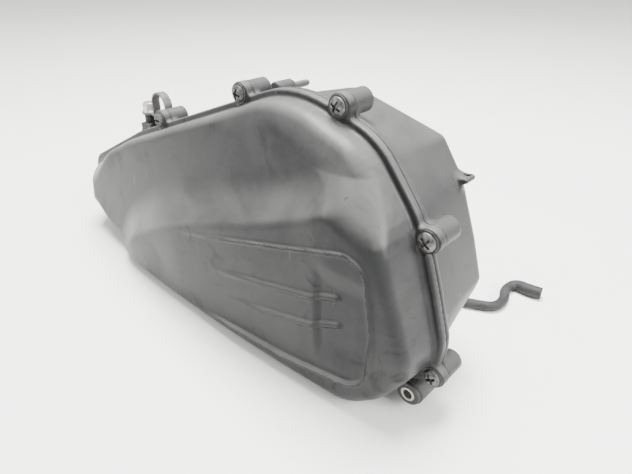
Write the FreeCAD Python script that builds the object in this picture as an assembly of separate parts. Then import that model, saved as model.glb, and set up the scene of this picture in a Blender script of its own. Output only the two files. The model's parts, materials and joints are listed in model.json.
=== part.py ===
"""Scooter air filter box: clamshell case and bulged cover, panel element, outlet boot, drain and fixings.

Millimetres. X runs along the box from the narrow inlet end to the wide end, Y from the cover to the
rear, Z up. Everything is drawn with Y = 0 on the front face of the cover's rim and Z = 0 on the surface
the box rests on, and is moved to the middle of its footprint on export.
"""
import FreeCAD
import Part
import math
import os

from FreeCAD import Vector

# ---- driving dimensions ----
ORIGIN = Vector(-13.0, 31.5, 0)       # middle of the footprint, in the drawing frame
WALL = 2.5                            # moulded wall
LIP = 4.5                             # rim that stands out round the wall
LAND = 5.0                            # rim's sealing land, measured inwards from the wall
PARTING = 5.0                         # where cover and case meet
SEAL_GAP = 0.1                        # half of the gap left at the parting plane
GROOVE = (0.8, 3.8)                   # seal groove, measured inwards from the wall
GROOVE_DEPTH = 2.5
CASE_RIM_BACK = 10.0
TAIL_BACK = 42.0                      # rear of the narrow inlet end
MAIN_BEND = 62.0                      # where the rear edge starts to turn in
MAIN_BACK = 68.0                      # rear of the wide end
REAR_TURN = 6.0

SCREWS = [(-178, 7.1), (-77, 134.6), (27.4, 173.9), (111.9, 181.8), (175.2, 123.2), (189.4, 36.6)]
BOSS_R = 7.5
BOSS_FRONT = -1.0
BOSS_STEP = 19.0
BOSS_BACK = 22.0
SCREW_R = 2.4
SCREW_HOLE_R = 2.9
HEAD_R = 6.0
HEAD_HEIGHT = 2.8
WASHER_R = 6.8
WASHER_THICK = 1.0
SCREW_TIP = 18.5

ELEMENT_X = (-40.0, 130.0)
ELEMENT_Z = (30.0, 134.0)
ELEMENT_FRONT = -6.0
PLATE_FRONT = 24.0
PLATE_THICK = 3.0
SEAL_THICK = 3.0
PLEATS = 26
PLATE_SCREWS = [(-98, 22), (-100, 86), (62, 158), (150, 112), (136, 32)]
PLATE_SCREW_R = 1.75
PLATE_HEAD_R = 4.0
PLATE_POST_R = 5.0

OUTLET = (20.0, 95.0)
OUTLET_R = 20.0
BOOT_WALL = 4.0
BOOT_BACK = 104.0
SOCKET_R = 21.0                       # the boot's socket for the carburettor
SOCKET_FRONT = 80.0
BAND_Y = (89.0, 98.0)
BAND_THICK = 0.8
INLET = (-176.0, 46.0)
INLET_R = 15.0
INLET_BACK = 74.0

MOUNT = (176.0, 14.6)
MOUNT_LUG_R = 9.0
BUSH_R = 7.0
COLLAR_R = 4.8
COLLAR_BORE_R = 3.25
MOUNT_Y = (-2.0, 20.0)

LUG_HOLE = (159.5, 65.0)
LUG_HOLE_R = 2.2
LUG_TOP = 136.0
CLIP_BOLT = (-118.0, 14.0)
CLIP_POST_R = 5.5
CLIP_SEAT = 129.0
CLIP_ARCH = (-97.0, 140.0)            # middle of the strap's round top
CLIP_ARCH_R = 9.0
CLIP_FOOT = 130.0
CLIP_THICK = 1.6
CLIP_Y = (10.5, 17.5)
BOLT_HEAD = 8.0

BREATHER = (5.0, 163.0)
BREATHER_FACE = 66.0
SPIGOT_STEM_R = 3.2
SPIGOT_COLLAR_R = 5.2
SPIGOT_BORE_R = 1.7
DRAIN = (100.0, 16.0)
HOSE_R = 4.0
HOSE_BORE_R = 2.6
HOSE_CLIP_Y = (74.0, 78.0)
HOSE_ROUTE = [
    (100, 70.5, 16), (100, 86, 16), (106, 99, 8), (120, 108, 4), (138, 114, 4), (156, 122, 4),
    (170, 129, 4), (171, 144, 4), (164.5, 157, 4), (167, 171, 4), (179, 169, 4), (190, 171.5, 4),
]

# ---- outlines: corners as (x, z, corner radius), clockwise seen from the cover side ----
WALL_LINE = [
    (-216, 14, 9), (-219, 62, 20), (-115, 112, 160), (20, 162.8, 120), (76, 184.5, 80), (136, 166, 45),
    (165, 130, 60), (179, 90, 100), (188, 60, 30), (187, 46, 12), (167.5, 16.5, 22), (149, -0.6, 30),
    (-112, -0.6, 22), (-133, 14, 10),
]
MAIN_FRONT = [
    (-112, -0.6, 12), (-120, 109, 6), (20, 162.8, 120), (76, 184.5, 80), (136, 166, 45),
    (165, 130, 60), (179, 90, 100), (188, 60, 30), (187, 46, 12), (167.5, 16.5, 22), (149, -0.6, 30),
]
MAIN_REAR = [
    (-110, -0.6, 16), (-116, 105, 20), (20, 157.5, 120), (72, 175, 20), (141, 157, 8),
    (158, 133, 50), (172, 97, 60), (180.5, 70, 8), (178, 60, 6), (150, 29, 30), (112, -0.6, 40),
]
TAIL_LINE = [
    (-216, 14, 9), (-219, 62, 20), (-98, 119.5, 2), (-98, -0.6, 2), (-112, -0.6, 2), (-133, 14, 10),
]
CREST_LINE = [(-150, -14), (-120, 22), (-97, 45), (-30, 86), (20, 104), (87, 125), (134, 142), (165, 174)]
CREST_HALF = 13.0
EDGE_DEPTH = [(45, 41), (92, 33), (124, 25), (153, 13), (190, 13)]
EDGE_SLOPE = 0.9                      # how fast the face rises from its edge at the wide end


# ---- outline helpers ----
def inset_corners(corners, inset):
    """The outline with each side moved inwards by inset; corner radii follow."""
    count = len(corners)
    area = sum(
        corners[i][0] * corners[(i + 1) % count][1] - corners[(i + 1) % count][0] * corners[i][1]
        for i in range(count)
    )
    turn = 1 if area > 0 else -1
    moved = []
    for i, (x, z, radius) in enumerate(corners):
        before = corners[i - 1]
        after = corners[(i + 1) % count]
        d1 = Vector(x - before[0], 0, z - before[1]).normalize()
        d2 = Vector(after[0] - x, 0, after[1] - z).normalize()
        n1 = Vector(-d1.z, 0, d1.x) * turn
        n2 = Vector(-d2.z, 0, d2.x) * turn
        bend = n1 + n2
        shift = bend * (inset * 2 / bend.dot(bend))
        convex = (d1.x * d2.z - d1.z * d2.x) * turn > 0
        new_radius = radius - inset if convex else radius + inset
        moved.append((x + shift.x, z + shift.z, max(new_radius, 0.6)))
    return moved


def blend_corners(first, second, share):
    """The outline that lies between two outlines with matching corners."""
    return [
        tuple(a + (b - a) * share for a, b in zip(one, other))
        for one, other in zip(first, second)
    ]


def rounded_wire(corners, y):
    """A closed wire of straight sides and corner arcs in the plane at y."""
    count = len(corners)
    points = [Vector(x, y, z) for x, z, _ in corners]
    starts = []
    ends = []
    middles = []
    for i, corner in enumerate(points):
        back = points[i - 1] - corner
        on = points[(i + 1) % count] - corner
        half = back.getAngle(on) / 2
        reach = min(corners[i][2] / math.tan(half), 0.47 * back.Length, 0.47 * on.Length)
        radius = reach * math.tan(half)
        back.normalize()
        on.normalize()
        to_centre = (back + on).normalize()
        centre = corner + to_centre * (radius / math.sin(half))
        starts.append(corner + back * reach)
        ends.append(corner + on * reach)
        middles.append(centre - to_centre * radius)
    edges = []
    for i in range(count):
        edges.append(Part.Arc(starts[i], middles[i], ends[i]).toShape())
        edges.append(Part.LineSegment(ends[i], starts[(i + 1) % count]).toShape())
    return Part.Wire(edges)


def prism(corners, y_from, y_to):
    """A straight block with the outline's shape."""
    return Part.Face(rounded_wire(corners, y_from)).extrude(Vector(0, y_to - y_from, 0))


def draft(front, y_front, rear, y_rear):
    """A block that changes evenly from one outline to another."""
    return Part.makeLoft([rounded_wire(front, y_front), rounded_wire(rear, y_rear)], True, True)


# ---- general helpers ----
def rod(x, z, radius, y_from, y_to):
    """A cylinder along Y."""
    return Part.makeCylinder(radius, y_to - y_from, Vector(x, y_from, z), Vector(0, 1, 0))


def cone(x, z, radius_from, radius_to, y_from, y_to):
    """A cone along Y."""
    return Part.makeCone(radius_from, radius_to, y_to - y_from, Vector(x, y_from, z), Vector(0, 1, 0))


def ring(x, z, outer, inner, y_from, y_to):
    """A tube along Y."""
    return rod(x, z, outer, y_from, y_to).cut(rod(x, z, inner, y_from - 1, y_to + 1))


def block(x_span, y_span, z_span):
    """A box from its spans."""
    size = [span[1] - span[0] for span in (x_span, y_span, z_span)]
    return Part.makeBox(size[0], size[1], size[2], Vector(x_span[0], y_span[0], z_span[0]))


def joined(first, others):
    """One solid from pieces that overlap."""
    return first.multiFuse(others).removeSplitter()


def web(x, z, reach, thick, y_from, y_to, target):
    """A plate of the given thickness from a boss's axis towards a target point."""
    aim = Vector(target[0] - x, 0, target[1] - z)
    plate = Part.makeBox(reach, y_to - y_from, thick, Vector(0, y_from, -thick / 2))
    plate.rotate(Vector(0, 0, 0), Vector(0, 1, 0), -math.degrees(math.atan2(aim.z, aim.x)))
    return plate.translate(Vector(x, 0, z))


def floor_cut(shape):
    """Trims what would hang below the resting surface."""
    return shape.common(block((-260, 240), (-80, 140), (0, 240)))


# ---- cover ----
def table_value(points, at):
    """The value of a table of (place, value) at a place, carried on in a straight line past its ends."""
    i = 0
    while i < len(points) - 2 and at > points[i + 1][0]:
        i += 1
    (p0, v0), (p1, v1) = points[i], points[i + 1]
    return v0 + (v1 - v0) * (at - p0) / (p1 - p0)


def smooth_step(t):
    """0 to 1 without a corner."""
    t = min(max(t, 0.0), 1.0)
    return t * t * (3 - 2 * t)


def wide_end(z):
    """Where the wall of the wide end stands, at height z."""
    return table_value([(0, 158), (16, 167), (46, 187), (60, 188), (90, 179), (130, 165), (166, 136)], z)


def cover_depth(x, z):
    """How far the cover's front face stands ahead of its rim."""
    upper = 15 + 0.14 * (162 + 0.36 * x - 0.00035 * x * x - z)
    lower = 41.6 - 0.0003 * (x + 22) ** 2 - 3 * smooth_step((-90 - x) / 40)
    share = smooth_step((table_value(CREST_LINE, x) + CREST_HALF - z) / (2 * CREST_HALF))
    depth = upper + (lower - upper) * share
    edge = table_value(EDGE_DEPTH, min(max(z, 45), 190))
    rolled = edge + EDGE_SLOPE * max(wide_end(z) - x, 0) + 25 * smooth_step((35 - x) / 70)
    near = min(max(0.5 + (depth - rolled) / 12, 0), 1)
    return depth + (rolled - depth) * near - 6 * near * (1 - near)


def behind_face(extra):
    """Everything behind the cover's front face, moved back by extra."""
    columns = [-236 + 17.6 * i for i in range(26)]
    rows = [-12 + 13.0 * i for i in range(18)]
    grid = [[Vector(x, extra - cover_depth(x, z), z) for z in rows] for x in columns]
    surface = Part.BSplineSurface()
    surface.interpolate(grid)
    return surface.toShape().extrude(Vector(0, 90, 0))


def make_cover():
    """The bulged front shell with its rim and screw bosses."""
    back = PARTING - SEAL_GAP
    skin = prism(WALL_LINE, -70, back).common(behind_face(0))
    rim = prism(inset_corners(WALL_LINE, -LIP), 0, back)
    bosses = [rod(x, z, BOSS_R, BOSS_FRONT, back) for x, z in SCREWS]
    cavity = prism(inset_corners(WALL_LINE, WALL), -70, 2.5).common(behind_face(WALL))
    mouth = prism(inset_corners(WALL_LINE, LAND), 2, back + 1)
    holes = [rod(x, z, SCREW_HOLE_R, BOSS_FRONT - 1, back + 1) for x, z in SCREWS]
    mount_room = rod(MOUNT[0], MOUNT[1], MOUNT_LUG_R + 0.3, -8, back + 1)
    shell = joined(skin, [rim] + bosses).cut(Part.makeCompound([cavity, mouth, mount_room] + holes))
    return floor_cut(shell)


def make_gasket():
    """The rubber seal in the case's rim groove."""
    outer = inset_corners(WALL_LINE, GROOVE[0])
    inner = inset_corners(WALL_LINE, GROOVE[1])
    front = PARTING + SEAL_GAP
    return prism(outer, front, front + GROOVE_DEPTH).cut(prism(inner, front - 1, front + 4))


def make_screws():
    """Six pan-head cover screws with cross recesses."""
    screws = []
    seat = BOSS_FRONT - WASHER_THICK
    for x, z in SCREWS:
        head = rod(x, z, HEAD_R, seat - HEAD_HEIGHT, seat)
        head = head.makeFillet(1.4, [head.Edges[i] for i in rim_edges(head, seat - HEAD_HEIGHT)])
        shank = rod(x, z, SCREW_R, seat - 0.5, SCREW_TIP - 2)
        tip = cone(x, z, SCREW_R, 1.2, SCREW_TIP - 2, SCREW_TIP)
        slot_y = (seat - HEAD_HEIGHT - 1, seat - HEAD_HEIGHT + 1.8)
        cross = [
            block((x - 2.6, x + 2.6), slot_y, (z - 0.5, z + 0.5)),
            block((x - 0.5, x + 0.5), slot_y, (z - 2.6, z + 2.6)),
        ]
        screws.append(head.fuse([shank, tip]).cut(cross[0]).cut(cross[1]))
    return Part.makeCompound(screws)


def rim_edges(shape, y):
    """Indices of the round edges that lie in the plane at y."""
    found = []
    for i, edge in enumerate(shape.Edges):
        box = edge.BoundBox
        if box.YLength < 0.01 and abs(box.YMin - y) < 0.01:
            found.append(i)
    return found


def make_washers():
    """Flat washers under the screw heads."""
    front = BOSS_FRONT - WASHER_THICK
    return Part.makeCompound([ring(x, z, WASHER_R, 2.7, front, BOSS_FRONT) for x, z in SCREWS])


# ---- case ----
def make_case():
    """The rear casing: wide chamber, narrow inlet end, rim, bosses and lugs."""
    front = PARTING + SEAL_GAP
    main = draft(MAIN_FRONT, front, MAIN_REAR, MAIN_BEND)
    rear = draft(MAIN_REAR, MAIN_BEND, inset_corners(MAIN_REAR, REAR_TURN), MAIN_BACK)
    tail = draft(TAIL_LINE, front, inset_corners(TAIL_LINE, 3), TAIL_BACK)
    rim = prism(inset_corners(WALL_LINE, -LIP), front, CASE_RIM_BACK)
    solids = [rear, tail, rim] + case_bosses(front) + case_lugs()
    shell = joined(main, solids).cut(case_cavity(front))
    shell = joined(shell, plate_bosses())
    return floor_cut(shell.cut(case_holes(front)))


def case_cavity(front):
    """The hollow of both chambers and the mouth that opens to the cover."""
    inner_rear = inset_corners(MAIN_REAR, WALL)
    main = draft(inset_corners(MAIN_FRONT, WALL), CASE_RIM_BACK - 2, inner_rear, MAIN_BEND)
    rear = draft(inner_rear, MAIN_BEND, inset_corners(MAIN_REAR, REAR_TURN + 1.5), MAIN_BACK - WALL)
    tail_inner = inset_corners(TAIL_LINE, WALL)
    tail = draft(tail_inner, CASE_RIM_BACK - 2, inset_corners(TAIL_LINE, WALL + 3), TAIL_BACK - WALL)
    mouth = prism(inset_corners(WALL_LINE, LAND), front - 1, CASE_RIM_BACK)
    return Part.makeCompound([joined(main, [rear, tail, mouth])])


def case_bosses(front):
    """Screw bosses on the rim, each with a web to the wall."""
    solids = []
    centre = (0, 80)
    for x, z in SCREWS:
        solids.append(rod(x, z, BOSS_R - 0.3, front, BOSS_STEP))
        solids.append(cone(x, z, BOSS_R - 0.3, BOSS_R - 2.3, BOSS_STEP, BOSS_BACK))
        target = (x, 40) if x < -150 else centre
        solids.append(web(x, z, 13, 5, front, BOSS_STEP - 2, target))
    return solids


def case_lugs():
    """The lower mount lug, the rear lug with its gusset, and the posts for clip and breather."""
    x, z = MOUNT
    mount = rod(x, z, MOUNT_LUG_R, MOUNT_Y[0] + 0.5, MOUNT_Y[1] - 0.5)
    mount_web = web(x, z, 16, 9, PARTING + SEAL_GAP, MOUNT_Y[1] - 3, (120, 40))
    hole_x, hole_y = LUG_HOLE
    shelf = block((144, hole_x + 4), (hole_y - 8, hole_y + 3), (LUG_TOP - 3, LUG_TOP))
    gusset_face = Part.makePolygon([
        Vector(144, 0, LUG_TOP - 1), Vector(hole_x + 3, 0, LUG_TOP - 1),
        Vector(hole_x - 4.5, 0, LUG_TOP - 18), Vector(144, 0, LUG_TOP - 21), Vector(144, 0, LUG_TOP - 1),
    ])
    gusset = Part.Face(gusset_face).extrude(Vector(0, 3, 0)).translate(Vector(0, hole_y - 8, 0))
    bolt_x, bolt_y = CLIP_BOLT
    post = Part.makeCylinder(CLIP_POST_R, 25, Vector(bolt_x, bolt_y, CLIP_SEAT - 25))
    foot_x = (bolt_x - CLIP_POST_R, bolt_x + CLIP_POST_R)
    post_foot = block(foot_x, (6, bolt_y), (CLIP_SEAT - 25, CLIP_SEAT - 8))
    breather = rod(BREATHER[0], BREATHER[1], 6, 50, BREATHER_FACE)
    breather_foot = block((BREATHER[0] - 4, BREATHER[0] + 4), (50, BREATHER_FACE), (148, BREATHER[1] - 2))
    return [mount, mount_web, shelf, gusset, post, post_foot, breather, breather_foot]


def plate_bosses():
    """Posts inside the case that carry the inner plate."""
    back = MAIN_BACK - 1
    return [rod(x, z, PLATE_POST_R, PLATE_FRONT + PLATE_THICK, back) for x, z in PLATE_SCREWS]


def case_holes(front):
    """Seal groove, screw holes, outlet, inlet, mount, lug, breather and drain openings."""
    groove = prism(inset_corners(WALL_LINE, GROOVE[0]), front - 1, front + GROOVE_DEPTH)
    groove = groove.cut(prism(inset_corners(WALL_LINE, GROOVE[1]), front - 2, front + 4))
    holes = [groove]
    holes += [rod(x, z, SCREW_R + 0.06, front - 1, SCREW_TIP + 2) for x, z in SCREWS]
    holes += [rod(x, z, PLATE_SCREW_R + 0.05, PLATE_FRONT, PLATE_FRONT + 20) for x, z in PLATE_SCREWS]
    holes.append(rod(OUTLET[0], OUTLET[1], OUTLET_R + BOOT_WALL, 60, 80))
    holes.append(rod(INLET[0], INLET[1], INLET_R + 3, TAIL_BACK - 8, TAIL_BACK + 8))
    holes.append(rod(MOUNT[0], MOUNT[1], BUSH_R, -10, 40))
    holes.append(Part.makeCylinder(LUG_HOLE_R, 7, Vector(LUG_HOLE[0], LUG_HOLE[1], LUG_TOP - 3.5)))
    holes.append(Part.makeCylinder(4, 14, Vector(CLIP_BOLT[0], CLIP_BOLT[1], CLIP_SEAT - 13)))
    holes.append(rod(BREATHER[0], BREATHER[1], SPIGOT_STEM_R, 58, 70))
    holes.append(Part.makeCylinder(2.5, 24, Vector(BREATHER[0], 60, BREATHER[1] - 24)))
    holes.append(rod(DRAIN[0], DRAIN[1], SPIGOT_STEM_R, 60, 72))
    return Part.makeCompound(holes)


def make_inner_plate():
    """The plate across the case that the element seals on."""
    share = (PLATE_FRONT - PARTING) / (MAIN_BEND - PARTING)
    outline = inset_corners(blend_corners(MAIN_FRONT, MAIN_REAR, share), WALL + 1.0)
    plate = prism(outline, PLATE_FRONT, PLATE_FRONT + PLATE_THICK)
    window = block(
        (ELEMENT_X[0] + 10, ELEMENT_X[1] - 10), (PLATE_FRONT - 1, PLATE_FRONT + 5),
        (ELEMENT_Z[0] + 10, ELEMENT_Z[1] - 10),
    )
    holes = [rod(x, z, 2.3, PLATE_FRONT - 1, PLATE_FRONT + 5) for x, z in PLATE_SCREWS]
    return plate.cut(Part.makeCompound([window] + holes))


def make_plate_screws():
    """Thread-forming screws through the inner plate."""
    screws = []
    for x, z in PLATE_SCREWS:
        head = rod(x, z, PLATE_HEAD_R, PLATE_FRONT - 2.4, PLATE_FRONT)
        shank = rod(x, z, PLATE_SCREW_R, PLATE_FRONT - 1, PLATE_FRONT + 16)
        slot = block((x - 2, x + 2), (PLATE_FRONT - 3, PLATE_FRONT - 1.2), (z - 0.4, z + 0.4))
        cross = block((x - 0.4, x + 0.4), (PLATE_FRONT - 3, PLATE_FRONT - 1.2), (z - 2, z + 2))
        screws.append(head.fuse(shank).cut(slot).cut(cross))
    return Part.makeCompound(screws)


# ---- filter element ----
def element_block(margin, y_from, y_to):
    """A block of the element's outline, drawn in by margin."""
    x_span = (ELEMENT_X[0] + margin, ELEMENT_X[1] - margin)
    z_span = (ELEMENT_Z[0] + margin, ELEMENT_Z[1] - margin)
    return block(x_span, (y_from, y_to), z_span)


def make_element_frame():
    """The element's moulded frame with its flange and front bars."""
    back = PLATE_FRONT - SEAL_THICK
    body = element_block(5, ELEMENT_FRONT, back).fuse(element_block(0, back - 5, back))
    body = body.cut(element_block(8, ELEMENT_FRONT + 3, back + 1))
    body = body.cut(element_block(12, ELEMENT_FRONT - 1, ELEMENT_FRONT + 4))
    middle = (ELEMENT_X[0] + ELEMENT_X[1]) / 2
    bars = [
        block((middle + step - 2, middle + step + 2), (ELEMENT_FRONT, ELEMENT_FRONT + 3),
              (ELEMENT_Z[0] + 6, ELEMENT_Z[1] - 6))
        for step in (-36, 0, 36)
    ]
    return joined(body, bars)


def make_element_pleats():
    """The folded paper: one strip of even pleats."""
    left = ELEMENT_X[0] + 8.5
    right = ELEMENT_X[1] - 8.5
    front = ELEMENT_FRONT + 3.2
    back = PLATE_FRONT - SEAL_THICK - 1
    paper = 1.1
    step = (right - left) / (2 * PLEATS)
    near = []
    far = []
    for i in range(2 * PLEATS + 1):
        y = front if i % 2 == 0 else back - paper
        near.append(Vector(left + i * step, y, ELEMENT_Z[0] + 8.5))
        far.append(Vector(left + i * step, y + paper, ELEMENT_Z[0] + 8.5))
    outline = Part.makePolygon(near + far[::-1] + [near[0]])
    return Part.Face(outline).extrude(Vector(0, 0, ELEMENT_Z[1] - ELEMENT_Z[0] - 17))


def make_element_seal():
    """The soft rim between element and inner plate."""
    back = PLATE_FRONT
    return element_block(0, back - SEAL_THICK, back).cut(element_block(8, back - 5, back + 1))


# ---- air ducts ----
def make_outlet_boot():
    """The rubber boot that grips the case's rear wall and fits the carburettor."""
    x, z = OUTLET
    inside = ring(x, z, 30, OUTLET_R, MAIN_BACK - WALL - 3, MAIN_BACK - WALL)
    neck = ring(x, z, OUTLET_R + BOOT_WALL, OUTLET_R, MAIN_BACK - WALL - 1, BOOT_BACK)
    outside = ring(x, z, 31, OUTLET_R, MAIN_BACK, MAIN_BACK + 4)
    folds = [ring(x, z, 26.5, OUTLET_R + 1, y, y + 3) for y in (76, 82)]
    beads = [ring(x, z, 25.5, OUTLET_R + 1, y, y + 1.5) for y in (86, BOOT_BACK - 2.5)]
    socket = rod(x, z, SOCKET_R, SOCKET_FRONT, BOOT_BACK + 1)
    return joined(neck, [inside, outside] + folds + beads).cut(socket)


def make_outlet_funnel():
    """The flared inlet trumpet pushed into the boot from inside."""
    x, z = OUTLET
    profile = [
        Vector(x + OUTLET_R, 78, z), Vector(x + OUTLET_R, 54, z), Vector(x + 31, 44, z),
        Vector(x + 29.5, 42.5, z), Vector(x + OUTLET_R - 2, 52.5, z), Vector(x + OUTLET_R - 2, 78, z),
        Vector(x + OUTLET_R, 78, z),
    ]
    face = Part.Face(Part.makePolygon(profile))
    return face.revolve(Vector(x, 0, z), Vector(0, 1, 0), 360)


def make_outlet_clamp():
    """The worm-drive band with its screw housing."""
    x, z = OUTLET
    inner = OUTLET_R + BOOT_WALL
    band = ring(x, z, inner + BAND_THICK, inner, *BAND_Y)
    housing = block((x - 6, x + 6), BAND_Y, (z + inner + 0.2, z + inner + 8))
    tunnel = Part.makeCylinder(2.7, 20, Vector(x - 10, sum(BAND_Y) / 2, z + inner + 4.2), Vector(1, 0, 0))
    return joined(band, [housing]).cut(tunnel)


def make_clamp_screw():
    """The worm screw across the band."""
    x = OUTLET[0]
    centre_z = OUTLET[1] + OUTLET_R + BOOT_WALL + 4.2
    centre_y = sum(BAND_Y) / 2
    along = Vector(1, 0, 0)
    worm = Part.makeCylinder(2.6, 15, Vector(x - 8, centre_y, centre_z), along)
    head = Part.makeCylinder(3.6, 4, Vector(x + 6.2, centre_y, centre_z), along)
    slot = block((x + 8.8, x + 11), (centre_y - 0.5, centre_y + 0.5), (centre_z - 5, centre_z + 5))
    return worm.fuse(head).cut(slot)


def make_inlet_duct():
    """The rubber snorkel that grips the rear wall of the narrow end."""
    x, z = INLET
    outer = INLET_R + 3
    inside = ring(x, z, outer + 3, INLET_R, TAIL_BACK - WALL - 3, TAIL_BACK - WALL)
    neck = ring(x, z, outer, INLET_R, TAIL_BACK - WALL - 1, INLET_BACK)
    outside = ring(x, z, outer + 3, INLET_R, TAIL_BACK, TAIL_BACK + 3)
    lip = ring(x, z, outer + 2, INLET_R, INLET_BACK - 3, INLET_BACK)
    return joined(neck, [inside, outside, lip])


def spigot(x, z, y_wall, collar_thick, length):
    """A push-in spigot: stem, collar, plain neck and a tapered tip."""
    tip_from = y_wall + length - 2
    stem = rod(x, z, SPIGOT_STEM_R, y_wall - 6, y_wall)
    collar = rod(x, z, SPIGOT_COLLAR_R, y_wall, y_wall + collar_thick)
    neck = rod(x, z, HOSE_BORE_R, y_wall + 1, tip_from)
    tip = cone(x, z, HOSE_BORE_R, HOSE_BORE_R - 0.5, tip_from, y_wall + length)
    return joined(stem, [collar, neck, tip]).cut(rod(x, z, SPIGOT_BORE_R, y_wall - 7, y_wall + length + 1))


def make_breather_nipple():
    """The breather spigot on top of the case."""
    return spigot(BREATHER[0], BREATHER[1], BREATHER_FACE, 1.5, 19)


def make_drain_nipple():
    """The drain spigot low on the rear wall."""
    return spigot(DRAIN[0], DRAIN[1], MAIN_BACK, 2.5, 13)


# ---- drain hose ----
def make_drain_hose():
    """The rubber drain hose along its route: straight runs joined by tangent arcs."""
    points = [Vector(*p) for p in HOSE_ROUTE]
    edges = []
    start = points[0]
    for i in range(1, len(points) - 1):
        back = points[i - 1] - points[i]
        on = points[i + 1] - points[i]
        half = back.getAngle(on) / 2
        reach = 0.45 * min(back.Length, on.Length)
        radius = reach * math.tan(half)
        back.normalize()
        on.normalize()
        inward = (back + on).normalize()
        entry = points[i] + back * reach
        leave = points[i] + on * reach
        middle = points[i] + inward * (radius / math.sin(half) - radius)
        edges.append(Part.LineSegment(start, entry).toShape())
        edges.append(Part.Arc(entry, middle, leave).toShape())
        start = leave
    edges.append(Part.LineSegment(start, points[-1]).toShape())
    path = Part.Wire(edges)
    first = (points[1] - points[0]).normalize()
    hose = path.makePipeShell([circle_wire(points[0], first, HOSE_R)], True, True)
    bore = path.makePipeShell([circle_wire(points[0], first, HOSE_BORE_R)], True, True)
    return hose.cut(bore)


def circle_wire(centre, normal, radius):
    """A circle square to the path's start."""
    return Part.Wire([Part.Circle(centre, normal, radius).toShape()])


def make_hose_clip():
    """The spring clip on the hose's end, with two ears to squeeze."""
    x, z = DRAIN
    band = ring(x, z, HOSE_R + 1.0, HOSE_R + 0.15, *HOSE_CLIP_Y)
    ears = [
        block((x + side - 0.6, x + side + 0.6), HOSE_CLIP_Y, (z + HOSE_R + 0.5, z + HOSE_R + 5))
        for side in (-1.8, 1.8)
    ]
    return joined(band, ears)


# ---- fixings ----
def make_mount_bush():
    """The rubber bush in the lower mount lug."""
    x, z = MOUNT
    body = ring(x, z, BUSH_R, COLLAR_R, MOUNT_Y[0] + 0.5, MOUNT_Y[1] - 0.5)
    front = ring(x, z, MOUNT_LUG_R - 0.8, COLLAR_R, MOUNT_Y[0] - 1.5, MOUNT_Y[0] + 0.5)
    rear = ring(x, z, MOUNT_LUG_R - 0.8, COLLAR_R, MOUNT_Y[1] - 0.5, MOUNT_Y[1] + 1.5)
    return joined(body, [front, rear])


def make_mount_collar():
    """The steel sleeve inside the bush."""
    return ring(MOUNT[0], MOUNT[1], COLLAR_R, COLLAR_BORE_R, MOUNT_Y[0] - 2, MOUNT_Y[1] + 2)


def make_cable_clip():
    """The strap clip: an arch over the cable and a flat ear under the bolt."""
    x, z = CLIP_ARCH
    width = CLIP_Y[1] - CLIP_Y[0]
    outer = CLIP_ARCH_R + CLIP_THICK
    arch = ring(x, z, outer, CLIP_ARCH_R, *CLIP_Y)
    arch = arch.cut(block((x - 20, x + 20), (0, 30), (z - 20, z)))
    near_leg = block((x - outer, x - CLIP_ARCH_R), CLIP_Y, (CLIP_SEAT, z + 0.5))
    far_leg = block((x + CLIP_ARCH_R, x + outer), CLIP_Y, (CLIP_FOOT, z + 0.5))
    bolt_x, bolt_y = CLIP_BOLT
    ear = block((bolt_x - 7, x - CLIP_ARCH_R), CLIP_Y, (CLIP_SEAT, CLIP_SEAT + CLIP_THICK))
    pad = Part.makeCylinder(width, CLIP_THICK, Vector(bolt_x, bolt_y, CLIP_SEAT))
    clip = joined(arch, [near_leg, far_leg, ear, pad])
    return clip.cut(Part.makeCylinder(3.2, 8, Vector(bolt_x, bolt_y, CLIP_SEAT - 2)))


def make_clip_bolt():
    """The hexagon flange bolt that holds the clip."""
    x, y = CLIP_BOLT
    seat = CLIP_SEAT + CLIP_THICK
    flange = Part.makeCylinder(6.6, 1.4, Vector(x, y, seat))
    corners = [
        Vector(x + 5.77 * math.cos(math.radians(a)), y + 5.77 * math.sin(math.radians(a)), seat + 1.2)
        for a in range(0, 361, 60)
    ]
    head = Part.Face(Part.makePolygon(corners)).extrude(Vector(0, 0, BOLT_HEAD - 1.2))
    dome = Part.makeCone(BOLT_HEAD + 1, 3.4, BOLT_HEAD, Vector(x, y, seat))
    head = head.common(dome)
    shank = Part.makeCylinder(3, 13, Vector(x, y, seat - 13))
    return joined(flange, [head, shank])


def make_clip_insert():
    """The threaded brass insert in the clip's post."""
    x, y = CLIP_BOLT
    outer = Part.makeCylinder(4, 12, Vector(x, y, CLIP_SEAT - 12))
    return outer.cut(Part.makeCylinder(3.05, 14, Vector(x, y, CLIP_SEAT - 13)))


PARTS = {
    "cover": make_cover,
    "case": make_case,
    "cover_gasket": make_gasket,
    "cover_screws": make_screws,
    "screw_washers": make_washers,
    "inner_plate": make_inner_plate,
    "plate_screws": make_plate_screws,
    "element_frame": make_element_frame,
    "element_pleats": make_element_pleats,
    "element_seal": make_element_seal,
    "outlet_boot": make_outlet_boot,
    "outlet_funnel": make_outlet_funnel,
    "outlet_clamp": make_outlet_clamp,
    "clamp_screw": make_clamp_screw,
    "inlet_duct": make_inlet_duct,
    "breather_nipple": make_breather_nipple,
    "drain_nipple": make_drain_nipple,
    "drain_hose": make_drain_hose,
    "hose_clip": make_hose_clip,
    "mount_bush": make_mount_bush,
    "mount_collar": make_mount_collar,
    "cable_clip": make_cable_clip,
    "clip_bolt": make_clip_bolt,
    "clip_insert": make_clip_insert,
}


def main():
    """Builds every piece, moves it to the part's own origin and writes it."""
    os.makedirs("parts", exist_ok=True)
    for name, make in PARTS.items():
        shape = make()
        shape.translate(ORIGIN * -1)
        box = shape.BoundBox
        print(name, len(shape.Solids), shape.isValid(), round(shape.Volume),
              [round(v, 1) for v in (box.XMin, box.XMax, box.YMin, box.YMax, box.ZMin, box.ZMax)])
        shape.exportStep("parts/" + name + ".step")


main()
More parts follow.
